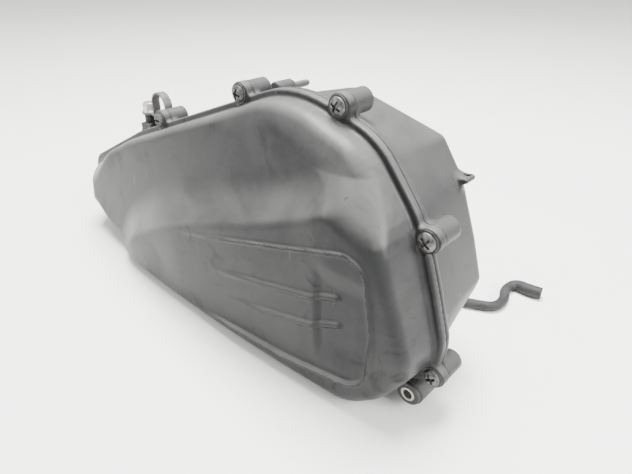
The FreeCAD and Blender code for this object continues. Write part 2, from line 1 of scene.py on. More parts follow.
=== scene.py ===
"""Looks of the scooter air filter box: finished meshes, materials, light and camera.

Shape functions work in millimetres in the drawing frame of the part: X along the box towards its wide
end, Y from the cover to the rear with 0 on the front face of the cover's rim, Z up from the floor.
to_row and ORIGIN take that frame to the row frame's metres.
"""
import json
import math

import bpy
import numpy as np
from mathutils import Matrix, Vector

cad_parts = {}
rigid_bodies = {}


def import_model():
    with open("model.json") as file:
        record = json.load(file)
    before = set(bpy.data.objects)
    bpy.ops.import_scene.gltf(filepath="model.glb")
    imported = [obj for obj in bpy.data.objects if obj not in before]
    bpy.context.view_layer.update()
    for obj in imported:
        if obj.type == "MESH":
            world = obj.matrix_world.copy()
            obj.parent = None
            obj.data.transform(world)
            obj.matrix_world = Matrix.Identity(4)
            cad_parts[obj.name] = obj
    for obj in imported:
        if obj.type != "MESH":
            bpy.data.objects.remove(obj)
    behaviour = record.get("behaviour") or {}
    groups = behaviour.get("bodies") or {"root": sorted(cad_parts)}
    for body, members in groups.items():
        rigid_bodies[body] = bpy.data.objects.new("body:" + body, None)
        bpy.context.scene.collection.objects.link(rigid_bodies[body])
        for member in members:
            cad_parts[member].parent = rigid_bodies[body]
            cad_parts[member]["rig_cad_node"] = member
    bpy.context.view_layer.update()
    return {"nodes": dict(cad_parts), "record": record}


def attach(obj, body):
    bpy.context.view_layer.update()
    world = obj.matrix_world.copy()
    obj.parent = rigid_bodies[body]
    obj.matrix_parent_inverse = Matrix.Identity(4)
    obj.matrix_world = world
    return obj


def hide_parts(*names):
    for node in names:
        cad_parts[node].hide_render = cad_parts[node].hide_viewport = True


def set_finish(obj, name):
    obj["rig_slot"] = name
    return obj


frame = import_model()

ORIGIN = np.array([-13.0, 31.5, 0.0])

# ---- walls, thicker on their hidden side than the part's 2.5 so that the meshes stay sound ----
WALL = 3.2
COVER_WALL = 4.0

# ---- sizes shared with the part ----
LIP = 4.5                       # rim that stands out round the wall
LAND = 5.0                      # rim's sealing land, measured inwards from the wall
COVER_BACK = 4.9
CASE_FRONT = 5.1
GROOVE = (0.8, 3.8)             # seal groove, measured inwards from the wall
GROOVE_DEPTH = 2.5
CASE_RIM_BACK = 10.0
TAIL_BACK = 42.0
MAIN_BEND = 62.0
MAIN_BACK = 68.0
SCREWS = [(-178, 7.1), (-77, 134.6), (27.4, 173.9), (111.9, 181.8), (175.2, 123.2), (189.4, 36.6)]
BOSS_R = 7.5
BOSS_FRONT = -1.0
BOSS_STEP = 19.0
BOSS_BACK = 22.0
HEAD_R = 6.0
WASHER_R = 6.8
WASHER_THICK = 1.0
SCREW_HOLE_R = 2.9
THREAD_HOLE_R = 2.46
THREAD_HOLE_END = 20.5
SCREW_TIP = 18.5
OUTLET = (20.0, 95.0)
OUTLET_HOLE_R = 24.05
INLET = (-176.0, 46.0)
INLET_HOLE_R = 18.05
MOUNT = (176.0, 14.6)
MOUNT_LUG_R = 9.0
BUSH_R = 7.0
COLLAR_R = 4.8
COLLAR_BORE_R = 3.25
MOUNT_Y = (-2.0, 20.0)
LUG_HOLE = (159.5, 65.0)
LUG_HOLE_R = 2.2
LUG_TOP = 136.0
CLIP_BOLT = (-118.0, 14.0)
CLIP_POST_R = 5.5
CLIP_SEAT = 129.0
CLIP_ARCH = (-97.0, 140.0)      # middle of the strap's round top
CLIP_ARCH_R = 9.0
CLIP_FOOT = 130.0
CLIP_THICK = 1.6
CLIP_HALF_WIDTH = 3.5
CLIP_EAR_R = 7.0
INSERT_R = 4.0
INSERT_DEPTH = 13.0
BOLT_HEAD = 8.0
BOLT_SHANK_R = 3.0
BREATHER = (5.0, 163.0)
BREATHER_FACE = 66.0
DRAIN = (100.0, 16.0)
SPIGOT_STEM_R = 3.2
SPIGOT_COLLAR_R = 5.2
SPIGOT_BORE_R = 1.7
PLATE_SCREWS = [(-98, 22), (-100, 86), (62, 158), (150, 112), (136, 32)]
PLATE_POST_R = 5.0
HOSE_R = 4.0
HOSE_BORE_R = 2.6
HOSE_ROUTE = [
    (100, 70.5, 16), (100, 86, 16), (106, 99, 8), (120, 108, 4), (138, 114, 4), (156, 122, 4),
    (170, 129, 4), (171, 144, 4), (164.5, 157, 4), (167, 171, 4), (179, 169, 4), (190, 171.5, 4),
]
WALL_LINE = [
    (-216, 14, 9), (-219, 62, 20), (-115, 112, 160), (20, 162.8, 120), (76, 184.5, 80), (136, 166, 45),
    (165, 130, 60), (179, 90, 100), (188, 60, 30), (187, 46, 12), (167.5, 16.5, 22), (149, -0.6, 30),
    (-112, -0.6, 22), (-133, 14, 10),
]
MAIN_FRONT = [
    (-112, -0.6, 12), (-120, 109, 6), (20, 162.8, 120), (76, 184.5, 80), (136, 166, 45),
    (165, 130, 60), (179, 90, 100), (188, 60, 30), (187, 46, 12), (167.5, 16.5, 22), (149, -0.6, 30),
]
MAIN_REAR = [
    (-110, -0.6, 16), (-116, 105, 20), (20, 157.5, 120), (72, 175, 20), (141, 157, 8),
    (158, 133, 50), (172, 97, 60), (180.5, 70, 8), (178, 60, 6), (150, 29, 30), (112, -0.6, 40),
]
TAIL_LINE = [
    (-216, 14, 9), (-219, 62, 20), (-98, 119.5, 2), (-98, -0.6, 2), (-112, -0.6, 2), (-133, 14, 10),
]

# ---- relief of the cover's face ----
BAND_TOP = [(-160, -22), (-141, 10), (-120, 38), (-96, 60), (-33, 97), (22, 116), (81, 133), (109, 142),
            (134, 151), (158, 163)]
BAND_SLOPE = 0.70
U_LINE = [(-60, 61, 5), (157, 119, 14), (165, 66, 60), (162, 27, 22), (99, 18.5, 60), (-60, 10, 5)]
U_STEP = 1.6                    # how deep the U-shaped area lies
U_BEAD = 1.7                    # how high its bead stands
RIBS = [((25, 58), (123, 78.5), (139, 83.5)), ((35, 38), (122, 57.5), (140, 64.5))]
RIB_HEIGHT = 1.8
FOLD_X = 126.0
POCKET_DEPTH = 2.6
BEVEL_START = [(45, 41), (92, 34), (124, 27), (153, 13), (190, 13)]
BEVEL_SLOPE = 0.75
FACE_SCALE = 0.93               # takes the sloping face's depth to about a true distance

# ---- camera ----
CAMERA_PLACE = (290, -207, 258)
CAMERA_AIM = (-0.59504, 0.62923, -0.5)
CAMERA_LENS = 29.05


def to_row(point):
    """A point of the drawing frame, in the row frame's metres."""
    return Vector((np.array(point, float) - ORIGIN) / 1000)


def make_camera():
    """The view of the real box: three-quarter from the front right, looking down at 30 degrees."""
    data = bpy.data.cameras.new("camera")
    data.lens = CAMERA_LENS
    data.sensor_width = 36
    camera = bpy.data.objects.new("camera", data)
    bpy.context.collection.objects.link(camera)
    camera.location = to_row(CAMERA_PLACE)
    camera.rotation_euler = Vector(CAMERA_AIM).to_track_quat("-Z", "Y").to_euler()
    bpy.context.scene.camera = camera


make_camera()


# ---- distance fields ----
def rounded_outline(corners):
    """Points round a closed outline whose corners are (x, z, radius)."""
    points = []
    count = len(corners)
    for i, (x, z, radius) in enumerate(corners):
        corner = np.array([x, z], float)
        back = np.array(corners[i - 1][:2]) - corner
        on = np.array(corners[(i + 1) % count][:2]) - corner
        back_length = np.hypot(*back)
        on_length = np.hypot(*on)
        back /= back_length
        on /= on_length
        half = math.acos(np.clip(back @ on, -1, 1)) / 2
        reach = min(radius / math.tan(half), 0.47 * back_length, 0.47 * on_length)
        turn = reach * math.tan(half)
        middle = (back + on) / np.hypot(*(back + on))
        centre = corner + middle * turn / math.sin(half)
        start = math.atan2(*(corner + back * reach - centre)[::-1])
        end = math.atan2(*(corner + on * reach - centre)[::-1])
        sweep = (end - start + math.pi) % (2 * math.pi) - math.pi
        steps = max(2, int(abs(sweep) / 0.09))
        for k in range(steps + 1):
            angle = start + sweep * k / steps
            points.append(centre + turn * np.array([math.cos(angle), math.sin(angle)]))
    return np.array(points)


def outline_distance(points, x, z):
    """Distance to a closed outline, negative inside it."""
    x, z = np.broadcast_arrays(x, z)
    nearest = np.full(x.shape, 1e9)
    inside = np.zeros(x.shape, bool)
    for (x0, z0), (x1, z1) in zip(points, np.roll(points, -1, 0)):
        along_x, along_z = x1 - x0, z1 - z0
        square = along_x ** 2 + along_z ** 2
        if square < 1e-12:
            continue
        share = np.clip(((x - x0) * along_x + (z - z0) * along_z) / square, 0, 1)
        apart = (x - x0 - share * along_x) ** 2 + (z - z0 - share * along_z) ** 2
        nearest = np.minimum(nearest, apart)
        if z0 != z1:
            crosses = ((z0 > z) != (z1 > z)) & (x < along_x * (z - z0) / along_z + x0)
            inside ^= crosses
    nearest = np.sqrt(nearest)
    return np.where(inside, -nearest, nearest)


def line_distance(corners, x, z):
    """Distance to an open line, negative below it."""
    x, z = np.broadcast_arrays(x, z)
    nearest = np.full(x.shape, 1e9)
    signed = np.zeros(x.shape)
    for (x0, z0), (x1, z1) in zip(corners, corners[1:]):
        along_x, along_z = x1 - x0, z1 - z0
        square = along_x ** 2 + along_z ** 2
        share = np.clip(((x - x0) * along_x + (z - z0) * along_z) / square, 0, 1)
        apart = np.hypot(x - x0 - share * along_x, z - z0 - share * along_z)
        side = np.sign(along_x * (z - z0) - along_z * (x - x0))
        signed = np.where(apart < nearest, side * apart, signed)
        nearest = np.minimum(nearest, apart)
    return signed


def sampled(distance, points, step=0.6):
    """A distance in the outline plane, worked out once on a fine grid and read between its points."""
    grid_x = np.arange(-240, 226, step)
    grid_z = np.arange(-20, 215, step)
    values = distance(points, grid_x[:, None], grid_z[None, :])

    def read(x, z):
        across, up = np.broadcast_arrays(x, z)
        across = np.clip((across - grid_x[0]) / step, 0, len(grid_x) - 1.001)
        up = np.clip((up - grid_z[0]) / step, 0, len(grid_z) - 1.001)
        i, j = across.astype(int), up.astype(int)
        across, up = across - i, up - j
        low = values[i, j] * (1 - across) + values[i + 1, j] * across
        high = values[i, j + 1] * (1 - across) + values[i + 1, j + 1] * across
        return low * (1 - up) + high * up

    return read


def union_round(a, b, r):
    """Both bodies, with a fillet of radius r between them."""
    return np.maximum(r, np.minimum(a, b)) - np.hypot(np.maximum(r - a, 0), np.maximum(r - b, 0))


def intersect_round(a, b, r):
    """What both bodies share, with its edges rounded to radius r."""
    return np.minimum(-r, np.maximum(a, b)) + np.hypot(np.maximum(r + a, 0), np.maximum(r + b, 0))


def smooth_step(t):
    """0 to 1 without a corner."""
    t = np.clip(t, 0, 1)
    return t * t * (3 - 2 * t)


def soft_max(a, b, r):
    """The larger of two, blended over a span of r."""
    near = np.clip(0.5 + (a - b) / (2 * r), 0, 1)
    return b + (a - b) * near + r * near * (1 - near)


def soft_min(a, b, r):
    """The smaller of two, blended over a span of r."""
    return -soft_max(-a, -b, r)


def rod_field(x, y, z, centre, radius, span, edge=0.8):
    """A round bar along Y with rounded ends."""
    across = np.hypot(x - centre[0], z - centre[1]) - radius
    along = np.abs(y - sum(span) / 2) - (span[1] - span[0]) / 2
    return intersect_round(across, along, edge)


def box_field(x, y, z, x_span, y_span, z_span, edge=0.8):
    """A block with rounded edges."""
    parts = [
        np.abs(v - sum(span) / 2) - (span[1] - span[0]) / 2
        for v, span in ((x, x_span), (y, y_span), (z, z_span))
    ]
    return intersect_round(intersect_round(parts[0], parts[1], edge), parts[2], edge)


# ---- meshes from fields ----
def slopes(field, points):
    """The field's slope at each point."""
    e = 0.03
    ahead = [field(*(points + e * way).T) - field(*(points - e * way).T) for way in np.eye(3)]
    return np.stack(ahead, 1) / (2 * e)


def net_mesh(field, low, high, step):
    """Vertices and quads of the surface where field is zero, and how sharp an edge each vertex sits on.

    One vertex stands in each cell the surface crosses, fitted to the tangent planes at the crossings,
    so that edges and corners stay crisp.
    """
    axes = [np.arange(a, b + step, step) for a, b in zip(low, high)]
    x, y, z = np.meshgrid(*axes, indexing="ij", sparse=True)
    size = tuple(len(a) for a in axes)
    value = np.ascontiguousarray(np.broadcast_to(field(x, y, z), size), np.float32)
    inside = value < 0
    cells = tuple(n - 1 for n in size)
    quads, owners, spots, normals = [], [], [], []
    for axis in range(3):
        near = tuple(slice(0, -1) if a == axis else slice(None) for a in range(3))
        far = tuple(slice(1, None) if a == axis else slice(None) for a in range(3))
        index = np.argwhere(inside[near] != inside[far])
        v0 = value[near][tuple(index.T)]
        v1 = value[far][tuple(index.T)]
        spot = index.astype(float)
        spot[:, axis] += v0 / (v0 - v1)
        spot = spot * step + np.array(low, float)
        slope = slopes(field, spot)
        slope /= np.maximum(np.linalg.norm(slope, axis=1), 1e-6)[:, None]
        b, c = (axis + 1) % 3, (axis + 2) % 3
        corners = []
        for step_b, step_c in ((-1, -1), (0, -1), (0, 0), (-1, 0)):
            cell = index.copy()
            cell[:, b] += step_b
            cell[:, c] += step_c
            corners.append(np.ravel_multi_index(tuple(cell.T), cells))
            owners.append(corners[-1])
            spots.append(spot)
            normals.append(slope)
        loop = np.stack(corners, 1)
        loop[v0 > 0] = loop[v0 > 0, ::-1]
        quads.append(loop)
    used, owner = np.unique(np.concatenate(owners), return_inverse=True)
    points, sharp = fitted(owner, np.concatenate(spots), np.concatenate(normals), len(used), step)
    number = np.full(np.prod(cells), -1)
    number[used] = np.arange(len(used))
    return points, number[np.concatenate(quads)], sharp


def fitted(owner, spots, normals, count, step):
    """The point that best meets each owner's tangent planes, kept near the middle of its spots."""
    hits = np.bincount(owner, minlength=count)
    middle = np.stack([np.bincount(owner, spots[:, k], count) for k in range(3)], 1) / hits[:, None]
    gap = ((spots - middle[owner]) * normals).sum(1)
    square = np.zeros((count, 3, 3))
    right = np.zeros((count, 3))
    for i in range(3):
        right[:, i] = np.bincount(owner, normals[:, i] * gap, count)
        for j in range(3):
            square[:, i, j] = np.bincount(owner, normals[:, i] * normals[:, j], count)
    square /= hits[:, None, None]
    right /= hits[:, None]
    sharp = smooth_step((np.linalg.eigvalsh(square)[:, 1] - 0.02) / 0.08)
    move = np.linalg.solve(square + 0.02 * np.eye(3), right[:, :, None])[:, :, 0]
    length = np.maximum(np.linalg.norm(move, axis=1), 1e-9)
    return middle + move * np.minimum(1, 0.8 * step / length)[:, None], sharp


def relax(points, quads, share):
    """Vertices moved by their own share of the way to the middle of their neighbours."""
    count = np.zeros(len(points))
    total = np.zeros(points.shape)
    for i in range(4):
        a, b = quads[:, i], quads[:, (i + 1) % 4]
        for one, other in ((a, b), (b, a)):
            count += np.bincount(one, minlength=len(points))
            for k in range(3):
                total[:, k] += np.bincount(one, points[other, k], len(points))
    return points + share[:, None] * (total / count[:, None] - points)


def onto_surface(points, field, reach):
    """Vertices moved onto the zero level along the field's slope."""
    value = field(*points.T)
    slope = slopes(field, points)
    size = np.maximum((slope ** 2).sum(1), 0.2)
    move = -slope * (value / size)[:, None]
    length = np.maximum(np.linalg.norm(move, axis=1), 1e-9)
    return points + move * np.minimum(1, reach / length)[:, None]


def field_object(name, field, low, high, step, most_faces=190000):
    """A mesh object of a field's surface, in the row frame."""
    points, quads, sharp = net_mesh(field, low, high, step)
    for share in (0.5, 0.4):
        moved = relax(points, quads, share * (1 - sharp))
        moved = onto_surface(moved, field, 0.5 * step)
        points = np.where(sharp[:, None] > 0.5, points, moved)
    obj = mesh_object(name, (points - ORIGIN) / 1000, quads)
    if 2 * len(quads) > most_faces:
        thin = obj.modifiers.new("thin", "DECIMATE")
        thin.ratio = most_faces / (2 * len(quads))
    return obj


def mesh_object(name, points, faces):
    """A smooth-shaded mesh object from arrays."""
    mesh = bpy.data.meshes.new(name)
    mesh.from_pydata(points.tolist(), [], faces.tolist())
    mesh.update()
    mesh.shade_smooth()
    obj = bpy.data.objects.new(name, mesh)
    bpy.context.collection.objects.link(obj)
    return obj


# ---- drain hose ----
def hose_centreline():
    """The hose's own line: one spline through the listed route."""
    curve = bpy.data.curves.new("hose_line", "CURVE")
    curve.dimensions = "3D"
    spline = curve.splines.new("NURBS")
    spline.points.add(len(HOSE_ROUTE) - 1)
    for point, place in zip(spline.points, HOSE_ROUTE):
        point.co = (*to_row(place), 1)
    spline.order_u = 3
    spline.use_endpoint_u = True
    spline.resolution_u = 10
    line = bpy.data.objects.new("hose_line", curve)
    bpy.context.collection.objects.link(line)
    bpy.context.view_layer.update()
    mesh = bpy.data.meshes.new_from_object(line)
    path = np.array([v.co for v in mesh.vertices])
    bpy.data.objects.remove(line)
    bpy.data.meshes.remove(mesh)
    return path


def make_hose():
    """The drain hose as a tube with a real bore, its free cut end rounded and its other end flat."""
    path = hose_centreline()
    run = np.concatenate([[0], np.cumsum(np.linalg.norm(np.diff(path, axis=0), axis=1))])
    length = float(run[-1])
    outer, inner, round_off = HOSE_R / 1000, HOSE_BORE_R / 1000, 0.0004
    sides = 32
    # the hose grows by end_swell in radius between 30 and 12 mm from its free end
    end_swell = 0.0011
    swells = end_swell * smooth_step((run - length + 0.030) / 0.018)
    tangents = np.gradient(path, axis=0)
    tangents /= np.linalg.norm(tangents, axis=1)[:, None]
    side = np.cross(tangents[0], (0, 0, 1))
    rings = []
    for place, tangent, swell in zip(path, tangents, swells):
        side = side - tangent * (side @ tangent)
        side /= np.linalg.norm(side)
        up = np.cross(side, tangent)
        rings.append((place, side.copy(), up, tangent, swell))
    loops = []

    def add_loop(ring, radius, slide):
        place, right, up, tangent, swell = ring
        centre = place + tangent * slide + np.array([0, 0, swell])
        for k in range(sides):
            angle = 2 * math.pi * k / sides
            spoke = math.cos(angle) * right + math.sin(angle) * up
            loops.append(centre + spoke * (radius + swell))

    for ring in rings[:-1]:
        add_loop(ring, outer, 0)
    add_loop(rings[-1], outer, -round_off)
    add_loop(rings[-1], outer - 0.3 * round_off, -0.3 * round_off)
    add_loop(rings[-1], outer - round_off, 0)
    add_loop(rings[-1], inner + round_off, 0)
    add_loop(rings[-1], inner, -round_off)
    for ring in rings[-2::-1]:
        add_loop(ring, inner, 0)
    turns = len(loops) // sides
    faces = []
    for i in range(turns):
        j = (i + 1) % turns
        for k in range(sides):
            m = (k + 1) % sides
            faces.append((i * sides + k, i * sides + m, j * sides + m, j * sides + k))
    hose = mesh_object("drain_hose_tube", np.array(loops), np.array(faces))
    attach(hose, "casing")
    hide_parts("drain_hose")
    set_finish(hose, "hose_rubber")


# ---- cover ----
wall_distance = sampled(outline_distance, rounded_outline(WALL_LINE))
bead_distance = sampled(outline_distance, rounded_outline(U_LINE))


def bar_distance(x, z, points):
    """Distance to a bent bar's middle line."""
    nearest = np.full(np.broadcast(x, z).shape, 1e9)
    for (x0, z0), (x1, z1) in zip(points, points[1:]):
        along = np.array([x1 - x0, z1 - z0], float)
        share = np.clip(((x - x0) * along[0] + (z - z0) * along[1]) / (along @ along), 0, 1)
        nearest = np.minimum(nearest, np.hypot(x - x0 - share * along[0], z - z0 - share * along[1]))
    return nearest


def softened(corners, turns=3):
    """A line with its corners cut off again and again."""
    line = np.array(corners, float)
    for _ in range(turns):
        near = 0.75 * line[:-1] + 0.25 * line[1:]
        far = 0.25 * line[:-1] + 0.75 * line[1:]
        line = np.concatenate([line[:1], np.stack([near, far], 1).reshape(-1, 2), line[-1:]])
    return line


band_distance = sampled(line_distance, softened(BAND_TOP))


def cover_depth(x, z, fine=True):
    """How far the front face stands ahead of the rim; fine adds bead and ribs, which the inside hasn't.

    The upper face leans back towards the top edge, the lower face is nearly flat and full, and the band
    is the steep slope between the two.
    """
    upper = 15 + 0.14 * (162 + 0.36 * x - 0.00035 * x * x - z)
    lower = 41.6 - 0.0003 * (x + 22) ** 2
    lower = lower - 3 * smooth_step((-90 - x) / 40) - 2.2 * smooth_step((60 - z) / 60)
    band = 24 - BAND_SLOPE * band_distance(x, z)
    depth = soft_min(soft_max(upper, band, 5.0), lower, 2.4)
    left_fade = smooth_step((x + 15) / 90)
    u = bead_distance(x, z)
    pocket = smooth_step((x - FOLD_X + 3.0) / 5.0) * smooth_step(0.1 - u / 6.0)
    pocket = POCKET_DEPTH * pocket * smooth_step((104 - z) / 16) * smooth_step((z - 30) / 20)
    depth = depth - U_STEP * smooth_step(0.5 - u / 3.0) * left_fade - pocket
    if not fine:
        return depth
    depth = depth + U_BEAD * np.exp(-((u - 0.6) / 1.5) ** 2) * smooth_step((x + 5) / 60)
    for rib in RIBS:
        away = bar_distance(x, z, rib)
        fade = smooth_step((x - rib[0][0]) / 55)
        depth = depth + RIB_HEIGHT * smooth_step((3.4 - away) / 3.0) * fade
    return depth


def cover_edge(x, z):
    """Radius of the edge between face and side wall."""
    base = 6.0 + 6.0 * smooth_step((34 - z) / 30)
    return base + 20.0 * smooth_step((-150 - x) / 55)


def cover_field(x, y, z):
    """The cover: drafted wall, rolled edge, relief face, rim, bosses and screw holes."""
    line = wall_distance(x, z)
    edge = cover_edge(x, z)
    start = np.interp(z, *zip(*BEVEL_START)) + 25 * smooth_step((35 - x) / 70)
    rolled = (BEVEL_SLOPE * line - start - y) / math.hypot(1, BEVEL_SLOPE)
    side = intersect_round(line + 0.05 * np.maximum(-y, 0), rolled, 5.0)
    skin, lining = [
        intersect_round(side, (-cover_depth(x, z, fine) - y) * FACE_SCALE, edge)
        for fine in (True, False)
    ]
    shell = np.maximum(np.maximum(skin, -(lining + COVER_WALL)), y - COVER_BACK)
    rim = intersect_round(line - LIP + 0.1, -y, 1.6)
    rim = np.maximum(rim, -line - np.where(y < 2, WALL, LAND))
    body = union_round(shell, rim, 1.6)
    bosses = None
    for centre in SCREWS:
        boss = rod_field(x, y, z, centre, BOSS_R, (BOSS_FRONT, COVER_BACK + 5), 1.0)
        bosses = boss if bosses is None else np.minimum(bosses, boss)
    body = union_round(body, bosses, 3.0)
    body = np.maximum(body, -line - np.where(y < 2, WALL, LAND) - np.where(y < -3, 99, 0))
    for centre in SCREWS:
        body = np.maximum(body, SCREW_HOLE_R - np.hypot(x - centre[0], z - centre[1]))
    mount_room = rod_field(x, y, z, MOUNT, MOUNT_LUG_R + 0.3, (-8, 9))
    body = np.maximum(body, -mount_room)
    body = np.maximum(body, y - COVER_BACK)
    return intersect_round(body, -z, 0.6)


def make_cover():
    """The finished front shell."""
    cover = field_object(
        "cover_shell", cover_field, low=(-224, -50, -3), high=(205, 8, 196), step=1.2,
    )
    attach(cover, "cover")
    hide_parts("cover")
    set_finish(cover, "cover_plastic")


# ---- case ----
front_distance = sampled(outline_distance, rounded_outline(MAIN_FRONT))
rear_distance = sampled(outline_distance, rounded_outline(MAIN_REAR))
tail_distance = sampled(outline_distance, rounded_outline(TAIL_LINE))


def case_skin(x, y, z):
    """The case's outer body: wide chamber and narrow end."""
    share = np.clip((y - CASE_FRONT) / (MAIN_BEND - CASE_FRONT), 0, 1)
    front = front_distance(x, z)
    rear = rear_distance(x, z)
    main = intersect_round(front + (rear - front) * share, y - MAIN_BACK, 7.0)
    tail = tail_distance(x, z) + 0.08 * np.maximum(y - CASE_FRONT, 0)
    tail = intersect_round(tail, y - TAIL_BACK, 5.0)
    return union_round(main, tail, 5.0)


def web_field(x, y, z, centre, target, reach, thick, y_span):
    """A plate from a boss's axis towards a target point."""
    aim = np.array([target[0] - centre[0], target[1] - centre[1]], float)
    aim /= np.hypot(*aim)
    along = (x - centre[0]) * aim[0] + (z - centre[1]) * aim[1]
    across = -(x - centre[0]) * aim[1] + (z - centre[1]) * aim[0]
    return box_field(along, y, across, (0, reach), y_span, (-thick / 2, thick / 2))


def case_bosses(x, y, z):
    """Screw bosses with their webs."""
    found = None
    for centre in SCREWS:
        boss = rod_field(x, y, z, centre, BOSS_R - 0.3, (CASE_FRONT - 5, BOSS_BACK), 2.4)
        target = (centre[0], 40) if centre[0] < -150 else (0, 80)
        web = web_field(x, y, z, centre, target, 13, 5, (CASE_FRONT - 5, BOSS_STEP - 2))
        piece = union_round(boss, web, 3.0)
        found = piece if found is None else np.minimum(found, piece)
    return found


def case_lugs(x, y, z):
    """Mount lug, rear lug with gusset, clip post and breather boss."""
    mount_web = web_field(x, y, z, MOUNT, (120, 40), 16, 9, (CASE_FRONT - 5, MOUNT_Y[1] - 3))
    hole_x, hole_y = LUG_HOLE
    plate_y = (hole_y - 8, hole_y + 3)
    shelf = box_field(x, y, z, (144, hole_x + 4), plate_y, (LUG_TOP - 3, LUG_TOP), 0.7)
    slant = 0.914 * (x - hole_x + 4.5) - 0.403 * (z - LUG_TOP + 18)
    gusset_y = (hole_y - 8, hole_y - 5)
    gusset = box_field(x, y, z, (140, hole_x + 3), gusset_y, (LUG_TOP - 21, LUG_TOP - 1))
    gusset = intersect_round(gusset, slant, 0.6)
    bolt_x, bolt_y = CLIP_BOLT
    post = np.hypot(x - bolt_x, y - bolt_y) - CLIP_POST_R
    post = intersect_round(post, np.abs(z - CLIP_SEAT + 12.5) - 12.5, 0.8)
    foot_x = (bolt_x - CLIP_POST_R, bolt_x + CLIP_POST_R)
    foot = box_field(x, y, z, foot_x, (6, bolt_y), (CLIP_SEAT - 25, CLIP_SEAT - 8))
    nub_y = (50, BREATHER_FACE)
    breather = rod_field(x, y, z, BREATHER, 6, nub_y, 1.0)
    breather_x = (BREATHER[0] - 4, BREATHER[0] + 4)
    breather_foot = box_field(x, y, z, breather_x, nub_y, (146, BREATHER[1] - 2))
    found = mount_web
    for piece in (union_round(shelf, gusset, 1.2), union_round(post, foot, 1.5)):
        found = np.minimum(found, piece)
    return np.minimum(found, union_round(breather, breather_foot, 1.5))


def case_field(x, y, z):
    """The rear casing: shell, rim with seal groove, bosses, lugs and openings."""
    line = wall_distance(x, z)
    skin = case_skin(x, y, z)
    rim = intersect_round(line - LIP + 0.1, y - CASE_RIM_BACK, 2.6)
    body = union_round(skin, rim, 4.5)
    body = union_round(body, case_bosses(x, y, z), 4.0)
    body = union_round(body, case_lugs(x, y, z), 3.0)
    hollow = np.where(y < CASE_RIM_BACK - 2, line + LAND, skin + WALL)
    posts = None
    for centre in PLATE_SCREWS:
        post = rod_field(x, y, z, centre, PLATE_POST_R, (27.0, MAIN_BACK - 1))
        post = np.maximum(post, 1.8 - np.where(y < 44, np.hypot(x - centre[0], z - centre[1]), 99))
        posts = post if posts is None else np.minimum(posts, post)
    body = np.maximum(body, -hollow)
    body = union_round(body, np.maximum(posts, skin), 1.2)
    body = np.maximum(body, CASE_FRONT - y)
    mount = rod_field(x, y, z, MOUNT, MOUNT_LUG_R, (MOUNT_Y[0] + 0.5, MOUNT_Y[1] - 0.5), 1.0)
    body = union_round(body, mount, 2.0)
    groove = np.abs(line + sum(GROOVE) / 2) - (GROOVE[1] - GROOVE[0]) / 2
    groove = np.maximum(groove, y - CASE_FRONT - GROOVE_DEPTH)
    body = np.maximum(body, -groove)
    for centre in SCREWS:
        hole = np.maximum(np.hypot(x - centre[0], z - centre[1]) - THREAD_HOLE_R, y - THREAD_HOLE_END)
        body = np.maximum(body, -hole)
    # holes along Y, each from where its wall begins, with their middle in X and Z
    for centre, radius, begins in (
        (OUTLET, OUTLET_HOLE_R, 58), (INLET, INLET_HOLE_R, 30), (MOUNT, BUSH_R, -99),
        (BREATHER, SPIGOT_STEM_R, 58), (DRAIN, SPIGOT_STEM_R, 58),
    ):
        hole = np.where(y > begins, radius, -99) - np.hypot(x - centre[0], z - centre[1])
        body = np.maximum(body, hole)
    # holes along Z, with their middle in X and Y
    lug = np.where(np.abs(z - LUG_TOP) < 3.5, LUG_HOLE_R, -99)
    body = np.maximum(body, lug - np.hypot(x - LUG_HOLE[0], y - LUG_HOLE[1]))
    insert = np.where(z > CLIP_SEAT - INSERT_DEPTH, INSERT_R, -99)
    body = np.maximum(body, insert - np.hypot(x - CLIP_BOLT[0], y - CLIP_BOLT[1]))
    return intersect_round(body, -z, 0.6)


def make_case():
    """The finished rear casing."""
    case = field_object(
        "case_shell", case_field, low=(-224, -4.3, -3), high=(205, 76, 196), step=1.5,
    )
    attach(case, "casing")
    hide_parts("case")
    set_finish(case, "case_plastic")


# ---- turned and moulded small pieces ----
def turned(corners, centre, sides=72):
    """A ring about an axis along Y; its section's corners are (radius, y, rounding)."""
    section = rounded_outline(corners)
    angles = np.linspace(0, 2 * math.pi, sides, endpoint=False)
    points = np.array([
        (centre[0] + r * math.cos(a), y, centre[1] + r * math.sin(a))
        for a in angles for r, y in section
    ])
    here = np.arange(len(points)).reshape(sides, len(section))
    after = np.roll(here, -1, 0)
    quads = np.stack([here, after, np.roll(after, -1, 1), np.roll(here, -1, 1)], -1).reshape(-1, 4)
    return points, quads


def ring_section(outer, inner, y_from, y_to, rounding=0.4):
    """The section of a plain ring."""
    corners = [(inner, y_from), (outer, y_from), (outer, y_to), (inner, y_to)]
    return [(*corner, rounding) for corner in corners]


SLOTS = {part["node"]: part["material_slot"] for part in frame["record"]["subparts"]}


def add_piece(name, parts, body, node):
    """One object from several meshes, turned outside out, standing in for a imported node."""
    points, quads, start = [], [], 0
    for some, loops in parts:
        a, b, c, d = some[loops].transpose(1, 0, 2)
        volume = (a * (np.cross(b, c) + np.cross(c, d))).sum()
        points.append(some)
        quads.append((loops if volume > 0 else loops[:, ::-1]) + start)
        start += len(some)
    obj = mesh_object(name, (np.concatenate(points) - ORIGIN) / 1000, np.concatenate(quads))
    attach(obj, body)
    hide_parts(node)
    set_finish(obj, SLOTS[node])


def field_part(field, low, high, step):
    """Points and quads of a small field's surface."""
    points, quads, sharp = net_mesh(field, low, high, step)
    for _ in range(2):
        moved = onto_surface(relax(points, quads, 0.4 * (1 - sharp)), field, 0.4 * step)
        points = np.where(sharp[:, None] > 0.5, points, moved)
    return points, quads


